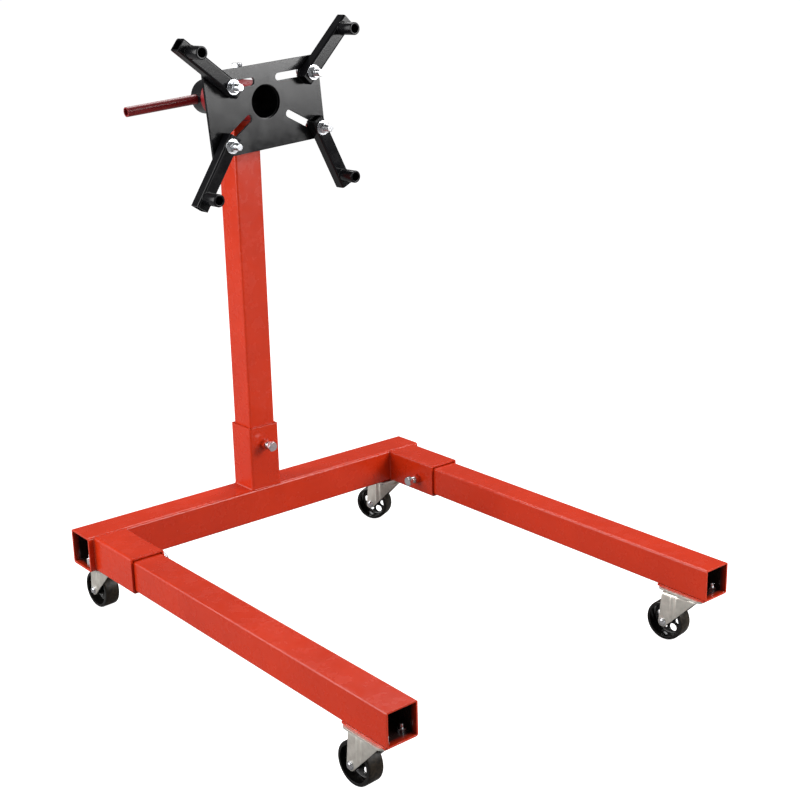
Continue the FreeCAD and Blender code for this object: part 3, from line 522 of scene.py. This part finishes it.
def dress(piece, *finishes):
    """Give a piece its materials, in order."""
    piece.data.materials.clear()
    for finish in finishes:
        piece.data.materials.append(finish)


def put_copy(master, name, matrix, body):
    """Put a copy of a finished master, with its own mesh, on a body."""
    piece = master.copy()
    piece.data = master.data.copy()
    piece.name = name
    piece.data.name = name
    bpy.context.scene.collection.objects.link(piece)
    piece.data.transform(matrix)
    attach(piece, body)
    return piece


def discard(*pieces):
    """Remove masters and helpers that have served."""
    clear()
    for piece in pieces:
        bpy.data.objects.remove(piece)


CORNERS = ("front_left", "front_right", "rear_left", "rear_right")


def caster_turn(corner):
    """How far a caster is turned about its kingpin."""
    axle = joint[corner + "_roll"]["axis"]
    return Matrix.Rotation(math.atan2(axle[1], axle[0]), 4, "Z")


def caster_place(corner):
    """The matrix from a caster's own frame, kingpin at the origin, to its place."""
    return Matrix.Translation(joint[corner + "_swivel"]["pos_m"]) @ caster_turn(corner)


print("casters stand at",
      [tuple(round(v, 3) for v in caster_place(corner).translation) for corner in CORNERS])

# %% [markdown]
# ## Wheels
# A caster wheel of this kind is one moulding: a thick rim with rounded shoulders, a thin web with six round
# holes, and a hub. A lathe profile could be spun, but the web, the hub and the rim are all steps of one disc,
# so a cylinder whose two sides are inset again and again shows better how the steps follow each other. The
# holes are cut with a boolean, and a small bevel breaks every edge. The faces on the outside of the rim get
# the tread's finish.

# %% Model the wheel
WHEEL_RADIUS = 37.5 * MM
TREAD_WIDTH = 31 * MM
WEB_MIDDLE = 5 * MM
WEB = 3.4 * MM

clear()
bpy.ops.mesh.primitive_cylinder_add(vertices=72, radius=WHEEL_RADIUS, depth=TREAD_WIDTH,
                                    rotation=(0, math.pi / 2, 0))
wheel = settle(bpy.context.object)
edit(wheel)
pick(wheel, "edges", lambda middle, along: abs(abs(middle.x) - TREAD_WIDTH / 2) < 1e-5)
bpy.ops.mesh.bevel(offset=3.2 * MM, segments=4, affect="EDGES")
for side in (-1, 1):
    sink = TREAD_WIDTH / 2 - WEB / 2 - side * WEB_MIDDLE
    pick(wheel, "faces", lambda middle, normal: normal.x * side > 0.999)
    bpy.ops.mesh.inset(thickness=3.4 * MM)
    bpy.ops.mesh.inset(thickness=1.4 * MM, depth=-sink + 0.6 * MM)
    bpy.ops.mesh.inset(thickness=0.9 * MM, depth=-0.6 * MM)
    bpy.ops.mesh.inset(thickness=17.6 * MM)
    bpy.ops.mesh.inset(thickness=1.2 * MM, depth=sink + 0.7 * MM)
    bpy.ops.mesh.inset(thickness=2.9 * MM, depth=0.6 * MM)
    bpy.ops.mesh.delete(type="FACE")
pick(wheel, "edges", lambda middle, along: abs(middle.x) > 16 * MM and middle.yz.length < 7.2 * MM)
bpy.ops.mesh.bridge_edge_loops()
clear()
print("wheel blank", [round(side / MM, 1) for side in wheel.dimensions], "faces", len(wheel.data.polygons))

# %% Cut the holes in the web
HOLE_CIRCLE = 19.6 * MM
HOLE_RADIUS = 7.7 * MM
FIRST_HOLE = 5
cutters = []
for number in range(6):
    angle = math.radians(FIRST_HOLE + 60 * number)
    clear()
    bpy.ops.mesh.primitive_cylinder_add(
        vertices=32, radius=HOLE_RADIUS, depth=12 * MM, rotation=(0, math.pi / 2, 0),
        location=(WEB_MIDDLE, HOLE_CIRCLE * math.cos(angle), HOLE_CIRCLE * math.sin(angle)))
    cutters.append(settle(bpy.context.object))
clear()
for cutter in cutters:
    cutter.select_set(True)
bpy.context.view_layer.objects.active = cutters[0]
bpy.ops.object.join()
cutter = cutters[0]
modify(wheel, "BOOLEAN", object=cutter, operation="DIFFERENCE", solver="EXACT")
discard(cutter)
tidy_mesh(wheel)
modify(wheel, "BEVEL", width=0.45 * MM, segments=2, limit_method="ANGLE", angle_limit=math.radians(38))
smooth(wheel)
dress(wheel, wheel_black, wheel_tread)
for face in wheel.data.polygons:
    if face.center.yz.length > 36.2 * MM and abs(face.center.x) < 14.6 * MM:
        face.material_index = 1
print("wheel faces", len(wheel.data.polygons))

# %% Put a wheel on each caster
for corner in CORNERS:
    place = Matrix.Translation(joint[corner + "_roll"]["pos_m"]) @ caster_turn(corner)
    piece = put_copy(wheel, corner + "_moulded_wheel", place, corner + "_wheel")
    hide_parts(corner + "_caster_wheel")
discard(wheel)
print("wheels placed")

# %% [markdown]
# ## Caster forks
# The fork is one stamping, bent from sheet: a crown with a pressed race for the balls, and two cheeks that
# sweep back to the axle. Each cheek is stiffened by a pressed rib beside its straight rear edge. Bending a
# plane edge by edge, as the press does, gives the right folds: the middle surface of one half is shaped
# first, then mirrored, and Solidify gives the sheet its thickness.

# %% Bend the sheet of the fork
SHEET = 2.5 * MM
CROWN = -11.55 * MM
CHEEK = 19.25 * MM
BOSS = 9.3 * MM
HEEL = 52 * MM
axle_down = joint["front_left_roll"]["pos_m"][2] - joint["front_left_swivel"]["pos_m"][2]
AXLE = Vector((0, 42 * MM, axle_down))

clear()
bpy.ops.mesh.primitive_plane_add(size=1)
fork = settle(bpy.context.object)
edit(fork)
bpy.ops.mesh.select_all(action="SELECT")
bpy.ops.transform.resize(value=(CHEEK, 72.5 * MM, 1))
bpy.ops.transform.translate(value=(CHEEK / 2, 9.25 * MM, CROWN))
pick(fork, "edges", lambda middle, along: middle.x > CHEEK - 1e-5)
STRIP = 7.5 * MM
bpy.ops.mesh.extrude_region_move(TRANSFORM_OT_translate={"value": (0, 0, -STRIP)})
bpy.ops.mesh.extrude_region_move(TRANSFORM_OT_translate={"value": (0, 0, AXLE.z - BOSS - CROWN + STRIP)})
FOOT = AXLE.z - BOSS
for level, slope, lean in ((CROWN - STRIP, STRIP, 0.8 * MM), (FOOT, 65.3 * MM, HEEL - 45.5 * MM)):
    pick(fork, "verts", lambda point: abs(point.z - level) < 1e-5 and point.y < 0)
    bpy.ops.transform.translate(value=(0, slope, 0))
    pick(fork, "verts", lambda point: abs(point.z - level) < 1e-5 and point.y > 45 * MM)
    bpy.ops.transform.translate(value=(0, lean, 0))
for corner_y, offset in ((HEEL, BOSS), (38.3 * MM, 3.9 * MM)):
    pick(fork, "verts", lambda point: abs(point.z - FOOT) < 1e-5 and abs(point.y - corner_y) < 0.3 * MM)
    bpy.ops.mesh.bevel(offset=offset, segments=7, affect="VERTICES")
pick(fork, "edges", lambda middle, along: middle.x > CHEEK - 1e-5 and abs(middle.z - CROWN) < 1e-5)
bpy.ops.mesh.bevel(offset=5 * MM, segments=5, affect="EDGES")
clear()
print("fork half", [round(side / MM, 1) for side in fork.dimensions], "faces", len(fork.data.polygons))

# %% Press the ribs, mirror and thicken
RIBS = (26.0 * MM, 15.2 * MM)
edit(fork)
for rib in RIBS:
    for reach in (2.5, 0.9, -0.9, -2.5):
        pick(fork, "faces", lambda middle, normal: abs(normal.x) > 0.95)
        bpy.ops.mesh.bisect(plane_co=(0, rib + reach * MM, 0), plane_no=(0, 1, 0))
pick(fork, "verts", lambda point: point.x > CHEEK - 1e-5 and point.z < CROWN - 6.5 * MM
     and any(abs(point.y - rib) < 1.1 * MM for rib in RIBS))
bpy.ops.transform.translate(value=(1.5 * MM, 0, 0))
clear()
modify(fork, "MIRROR", use_axis=(True, False, False), use_clip=True, merge_threshold=0.05 * MM)
tidy_mesh(fork)
modify(fork, "SOLIDIFY", thickness=SHEET, offset=0)
print("fork shell", [round(side / MM, 1) for side in fork.dimensions], "faces", len(fork.data.polygons))

# %% Bore the fork and add its race
clear()
bpy.ops.mesh.primitive_cylinder_add(vertices=40, radius=5.1 * MM, depth=12 * MM, location=(0, 0, CROWN))
kingpin_drill = settle(bpy.context.object)
modify(fork, "BOOLEAN", object=kingpin_drill, operation="DIFFERENCE", solver="EXACT")
discard(kingpin_drill)
modify(fork, "BEVEL", width=0.35 * MM, segments=2, limit_method="ANGLE", angle_limit=math.radians(50))

clear()
bpy.ops.mesh.primitive_cylinder_add(vertices=64, radius=25 * MM, depth=7.6 * MM,
                                    location=(0, 0, -9.0 * MM))
race = settle(bpy.context.object)
edit(race)
pick(race, "faces", lambda middle, normal: normal.z > 0.9)
bpy.ops.mesh.inset(thickness=3.2 * MM)
bpy.ops.mesh.inset(thickness=0.7 * MM, depth=-4.9 * MM)
bpy.ops.mesh.inset(thickness=16 * MM)
bpy.ops.mesh.delete(type="FACE")
pick(race, "faces", lambda middle, normal: normal.z < -0.9)
bpy.ops.mesh.inset(thickness=19.9 * MM)
bpy.ops.mesh.delete(type="FACE")
pick(race, "edges", lambda middle, along: middle.xy.length < 5.3 * MM)
bpy.ops.mesh.bridge_edge_loops()
clear()
tidy_mesh(race)
modify(race, "BEVEL", width=0.8 * MM, segments=3, limit_method="ANGLE", angle_limit=math.radians(40))
clear()
race.select_set(True)
fork.select_set(True)
bpy.context.view_layer.objects.active = fork
bpy.ops.object.join()
smooth(fork, 40)
dress(fork, fork_zinc)
print("fork faces", len(fork.data.polygons))

# %% Put a fork on each caster
for corner in CORNERS:
    piece = put_copy(fork, corner + "_stamped_fork", caster_place(corner), corner + "_fork")
    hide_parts(corner + "_caster_fork")
discard(fork)
print("forks placed")

# %% [markdown]
# ## Axles
# The axle has a domed head on one side, with a thin washer under it, and a hexagon nut on the other side. The
# dome is a short cylinder whose rim is bevelled by most of its height. The same bevel, set small and picked
# at the nut's corners, gives the nut its chamfer.

# %% Model the axle
def short_bar(radius, start, end, sides=32, rim=0.3 * MM, steps=2, both=True):
    """A bar along X with a rounded rim."""
    clear()
    bpy.ops.mesh.primitive_cylinder_add(vertices=sides, radius=radius, depth=end - start,
                                        rotation=(0, math.pi / 2, 0), location=((start + end) / 2, 0, 0))
    bar = settle(bpy.context.object)
    edit(bar)
    far = max(abs(start), abs(end)) * (1 if abs(end) > abs(start) else -1)
    pick(bar, "edges", lambda middle, along: abs(along.x) < 1e-6 and (both or abs(middle.x - far) < 1e-5))
    bpy.ops.mesh.bevel(offset=rim, segments=steps, affect="EDGES")
    clear()
    return bar


OUTSIDE = CHEEK + SHEET / 2
parts = [
    short_bar(4 * MM, -OUTSIDE - MM, OUTSIDE + 8.6 * MM, rim=0.6 * MM),
    short_bar(7.6 * MM, -OUTSIDE - 0.9 * MM, -OUTSIDE + 0.05 * MM),
    short_bar(6.3 * MM, -OUTSIDE - 4.2 * MM, -OUTSIDE - 0.7 * MM, rim=2.9 * MM, steps=6, both=False),
    short_bar(7.6 * MM, OUTSIDE - 0.05 * MM, OUTSIDE + 0.9 * MM),
    short_bar(7.4 * MM, OUTSIDE + 0.8 * MM, OUTSIDE + 7.0 * MM, sides=6, rim=0.6 * MM),
]
clear()
for part in parts:
    part.select_set(True)
bpy.context.view_layer.objects.active = parts[0]
bpy.ops.object.join()
axle = parts[0]
smooth(axle, 40)
dress(axle, bolt_zinc)
for corner in CORNERS:
    place = Matrix.Translation(joint[corner + "_roll"]["pos_m"]) @ caster_turn(corner)
    piece = put_copy(axle, corner + "_domed_axle", place, corner + "_fork")
    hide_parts(corner + "_axle_bolt")
discard(axle)
print("axles placed, faces", len(piece.data.polygons))

# %% [markdown]
# ## Weld beads
# Every joint of the frame is welded all round and painted over. A bead is a row of overlapping ripples. One
# ripple is a short barrel, an array repeats it to the length of the joint, and a curve modifier bends the row
# along the joint's line. The line itself starts as a plane or a circle laid on the joint, whose edges are
# kept.

# %% Tools for welds
def square_line(wide, high, corner, place, turn=(0, 0, 0)):
    """The outline of a tube's end, as edges only."""
    clear()
    bpy.ops.mesh.primitive_plane_add(size=1)
    line = settle(bpy.context.object)
    edit(line)
    bpy.ops.mesh.select_all(action="SELECT")
    bpy.ops.transform.resize(value=(wide, high, 1))
    bpy.ops.mesh.bevel(offset=corner, segments=4, affect="VERTICES")
    bpy.ops.mesh.select_all(action="SELECT")
    bpy.ops.mesh.delete(type="ONLY_FACE")
    clear()
    line.location = place
    line.rotation_euler = turn
    return settle(line)


def round_line(radius, place, turn=(0, 0, 0)):
    """A circle of edges."""
    clear()
    bpy.ops.mesh.primitive_circle_add(vertices=40, radius=radius, location=place, rotation=turn)
    return settle(bpy.context.object)


wobble = bpy.data.textures.new("weld wobble", "CLOUDS")
wobble.noise_scale = 5 * MM


def weld(line, name, body, radius, finish, ripple=1.9 * MM):
    """Run a bead along a closed line of edges."""
    points = line.data.vertices
    length = sum((points[a].co - points[b].co).length for a, b in (edge.vertices for edge in line.data.edges))
    count = max(8, round(length / ripple))
    step = length / count
    hold(line)
    bpy.ops.object.convert(target="CURVE")
    clear()
    bpy.ops.mesh.primitive_cylinder_add(vertices=10, radius=radius, depth=step, end_fill_type="NOTHING",
                                        rotation=(0, math.pi / 2, 0), location=(step / 2, 0, 0))
    bead = settle(bpy.context.object)
    edit(bead)
    bpy.ops.mesh.select_all(action="SELECT")
    bpy.ops.mesh.bisect(plane_co=(step * 0.62, 0, 0), plane_no=(1, 0, 0))
    pick(bead, "verts", lambda point: point.x < 0.01 * MM or point.x > step - 0.01 * MM)
    bpy.ops.transform.resize(value=(1, 0.8, 0.8))
    clear()
    modify(bead, "ARRAY", count=count, use_merge_vertices=True, merge_threshold=0.02 * MM)
    modify(bead, "CURVE", object=line, deform_axis="POS_X")
    edit(bead)
    bpy.ops.mesh.select_all(action="SELECT")
    bpy.ops.mesh.remove_doubles(threshold=0.08 * MM)
    bpy.ops.mesh.select_all(action="SELECT")
    bpy.ops.mesh.fill_holes(sides=12)
    clear()
    modify(bead, "DISPLACE", texture=wobble, texture_coords="GLOBAL", strength=0.7 * MM, mid_level=0.5)
    discard(line)
    smooth(bead, 60)
    dress(bead, finish)
    bead.name = name
    bead.data.name = name
    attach(bead, body)
    return bead


print("weld tools ready")

# %% Weld the sockets to the cross tube
FACE_FRONT = (math.pi / 2, 0, 0)
for side in ("left", "right"):
    low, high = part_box(side + "_leg_socket")
    middle = (low + high) / 2
    line = square_line(69 * MM, 69 * MM, 6 * MM, (middle.x, high.y, middle.z), FACE_FRONT)
    weld(line, side + "_socket_weld", "base", 2.4 * MM, red_coat)
low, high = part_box("post_socket")
line = square_line(68.5 * MM, 68.5 * MM, 6 * MM, ((low.x + high.x) / 2, (low.y + high.y) / 2, low.z))
weld(line, "post_socket_weld", "base", 2.4 * MM, red_coat)
print("socket welds done")

# %% Weld the receiver to the post
POST_WIDTH, POST_CORNER, BELOW_POST_TOP = 60.5 * MM, 4 * MM, 60 * MM
low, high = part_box("upper_post")
post_ring = ((low.x + high.x) / 2, (low.y + high.y) / 2, high.z - BELOW_POST_TOP)
line = square_line(POST_WIDTH, POST_WIDTH, POST_CORNER, post_ring)
edit(line)
bpy.ops.mesh.select_all(action="SELECT")
bpy.ops.mesh.subdivide(number_cuts=9)
clear()
modify(line, "SHRINKWRAP", target=nodes["receiver_tube"], wrap_method="PROJECT", use_project_z=True,
       use_positive_direction=True, use_negative_direction=False)
# The bead shares the receiver's dark red, which is partly painted shade.
weld(line, "receiver_weld", "base", 2.6 * MM, dark_red_and_receiver_shade)
print("receiver weld done")

# %% Weld the nuts
NUT_RING = 9.6 * MM
low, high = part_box("post_set_bolt")
post_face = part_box("post_socket")[0].y
line = round_line(NUT_RING, ((low.x + high.x) / 2, post_face, (low.z + high.z) / 2), FACE_FRONT)
weld(line, "post_nut_weld", "base", 1.3 * MM, red_coat, 1.5 * MM)
for side, sign in (("left", 1), ("right", -1)):
    low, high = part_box(side + "_leg_set_bolt")
    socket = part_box(side + "_leg_socket")
    face = socket[1].x if sign > 0 else socket[0].x
    line = round_line(NUT_RING, (face, (low.y + high.y) / 2, (low.z + high.z) / 2), (0, math.pi / 2, 0))
    weld(line, side + "_nut_weld", "base", 1.3 * MM, red_coat, 1.5 * MM)
low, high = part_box("receiver_weld_nut")
line = round_line(NUT_RING, ((low.x + high.x) / 2, (low.y + high.y) / 2, high.z + 20 * MM))
modify(line, "SHRINKWRAP", target=nodes["receiver_tube"], wrap_method="PROJECT", use_project_z=True,
       use_positive_direction=False, use_negative_direction=True)
# The bead shares the receiver's dark red, which is partly painted shade.
weld(line, "lock_nut_weld", "base", 1.3 * MM, dark_red_and_receiver_shade, 1.5 * MM)
print("nut welds done")

# %% Weld the head
low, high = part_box("head_plate")
head_axis = joint["head_turn"]["pos_m"]
line = round_line(34.4 * MM, (0, high.y, head_axis[2]), FACE_FRONT)
weld(line, "head_plate_weld", "head", 1.7 * MM, black_coat)
ARMS = ("upper_left", "upper_right", "lower_left", "lower_right")
for arm in ARMS:
    low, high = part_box(arm + "_arm_sleeve")
    middle = (low + high) / 2
    line = round_line(12 * MM, (middle.x, high.y, middle.z), FACE_FRONT)
    weld(line, arm + "_sleeve_weld", arm + "_arm", 1.5 * MM, arm_black, 1.5 * MM)
print("head welds done")

# %% [markdown]
# ## Arm sleeves
# Each arm ends in a thick sleeve that a bolt of the engine passes through. It is a cylinder whose end faces
# are inset to the bore, opened and bridged. Its outer rims are broken well, so that they catch the light as a
# thin ring, and the bore's rims a little.

# %% Model the sleeve
low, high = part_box("upper_left_arm_sleeve")
SLEEVE = high.y - low.y
SLEEVE_RADIUS = (high.x - low.x) / 2
BORE = frame["record"]["mounts"][0]["dims"]["r_mm"] * MM

clear()
bpy.ops.mesh.primitive_cylinder_add(vertices=48, radius=SLEEVE_RADIUS, depth=SLEEVE,
                                    rotation=(math.pi / 2, 0, 0))
sleeve = settle(bpy.context.object)
edit(sleeve)
pick(sleeve, "faces", lambda middle, normal: abs(normal.y) > 0.99)
bpy.ops.mesh.inset(thickness=(SLEEVE_RADIUS - BORE) / math.cos(math.pi / 48))
bpy.ops.mesh.delete(type="FACE")
pick(sleeve, "edges", lambda middle, along: middle.xz.length < BORE + MM and abs(along.y) < MM)
bpy.ops.mesh.bridge_edge_loops()
for reach, rim, steps in ((SLEEVE_RADIUS, 1.5 * MM, 4), (BORE, 0.6 * MM, 2)):
    pick(sleeve, "edges", lambda middle, along: abs(abs(middle.y) - SLEEVE / 2) < 1e-5
         and abs(middle.xz.length - reach) < 0.3 * MM and abs(along.normalized().dot(middle)) < 0.5 * MM)
    bpy.ops.mesh.bevel(offset=rim, segments=steps, affect="EDGES")
clear()
tidy_mesh(sleeve)
smooth(sleeve)
dress(sleeve, arm_black)
for arm in ARMS:
    low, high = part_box(arm + "_arm_sleeve")
    piece = put_copy(sleeve, arm + "_round_sleeve", Matrix.Translation((low + high) / 2), arm + "_arm")
    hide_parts(arm + "_arm_sleeve")
discard(sleeve)
print("sleeves", [round(side / MM, 1) for side in piece.dimensions], "bore", round(BORE / MM, 1))

# %% [markdown]
# ## Threads
# The ends of the bolts stand out of their nuts and show their thread. A thread is a small three-sided ridge
# that climbs round the shank, so a triangle is swept with a Screw modifier at the 1.75 mm pitch of a 12 mm
# bolt's thread.

# %% Cut the threads
def thread(radius, pitch, turns):
    """A ridge that climbs the Z axis from zero, round a shank of that radius."""
    clear()
    bpy.ops.mesh.primitive_circle_add(vertices=3, radius=0.55 * pitch, fill_type="NOTHING",
                                      location=(radius - 0.02 * MM, 0, 0),
                                      rotation=(math.pi / 2, math.pi / 2, 0))
    ridge = settle(bpy.context.object)
    modify(ridge, "SCREW", axis="Z", angle=math.tau, screw_offset=pitch, iterations=turns, steps=20,
           render_steps=20, use_merge_vertices=True, merge_threshold=0.01 * MM)
    edit(ridge)
    bpy.ops.mesh.select_all(action="SELECT")
    bpy.ops.mesh.fill_holes(sides=4)
    bpy.ops.mesh.normals_make_consistent(inside=False)
    clear()
    dress(ridge, bolt_zinc)
    return ridge


end_thread = thread(6 * MM, 1.75 * MM, 7)
for arm in ARMS:
    low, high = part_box(arm + "_arm_bolt")
    swing = joint[arm + "_arm_swing"]["pos_m"]
    place = Matrix.Translation((swing[0], low.y + 0.7 * MM, swing[2])) @ Matrix.Rotation(-math.pi / 2, 4, "X")
    put_copy(end_thread, arm + "_bolt_thread", place, arm + "_bolt")
discard(end_thread)

neck_thread = thread(6 * MM, 1.75 * MM, 7)
necks = {
    "lock_bolt": ("head_lock_bolt", "lock_bolt", Vector((0, 0, 1))),
    "post_bolt": ("post_set_bolt", "base", Vector((0, -1, 0))),
    "left_leg_bolt": ("left_leg_set_bolt", "base", Vector((1, 0, 0))),
    "right_leg_bolt": ("right_leg_set_bolt", "base", Vector((-1, 0, 0))),
}
HEAD_AND_NECK = 20 * MM
for name, (node_name, body, way) in necks.items():
    low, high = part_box(node_name)
    middle = (low + high) / 2
    reach = abs((high - low).dot(way)) / 2
    start = middle + way * (reach - HEAD_AND_NECK)
    place = Matrix.Translation(start) @ way.to_track_quat("Z", "Y").to_matrix().to_4x4()
    put_copy(neck_thread, name + "_thread", place, body)
discard(neck_thread)
print("threads cut")
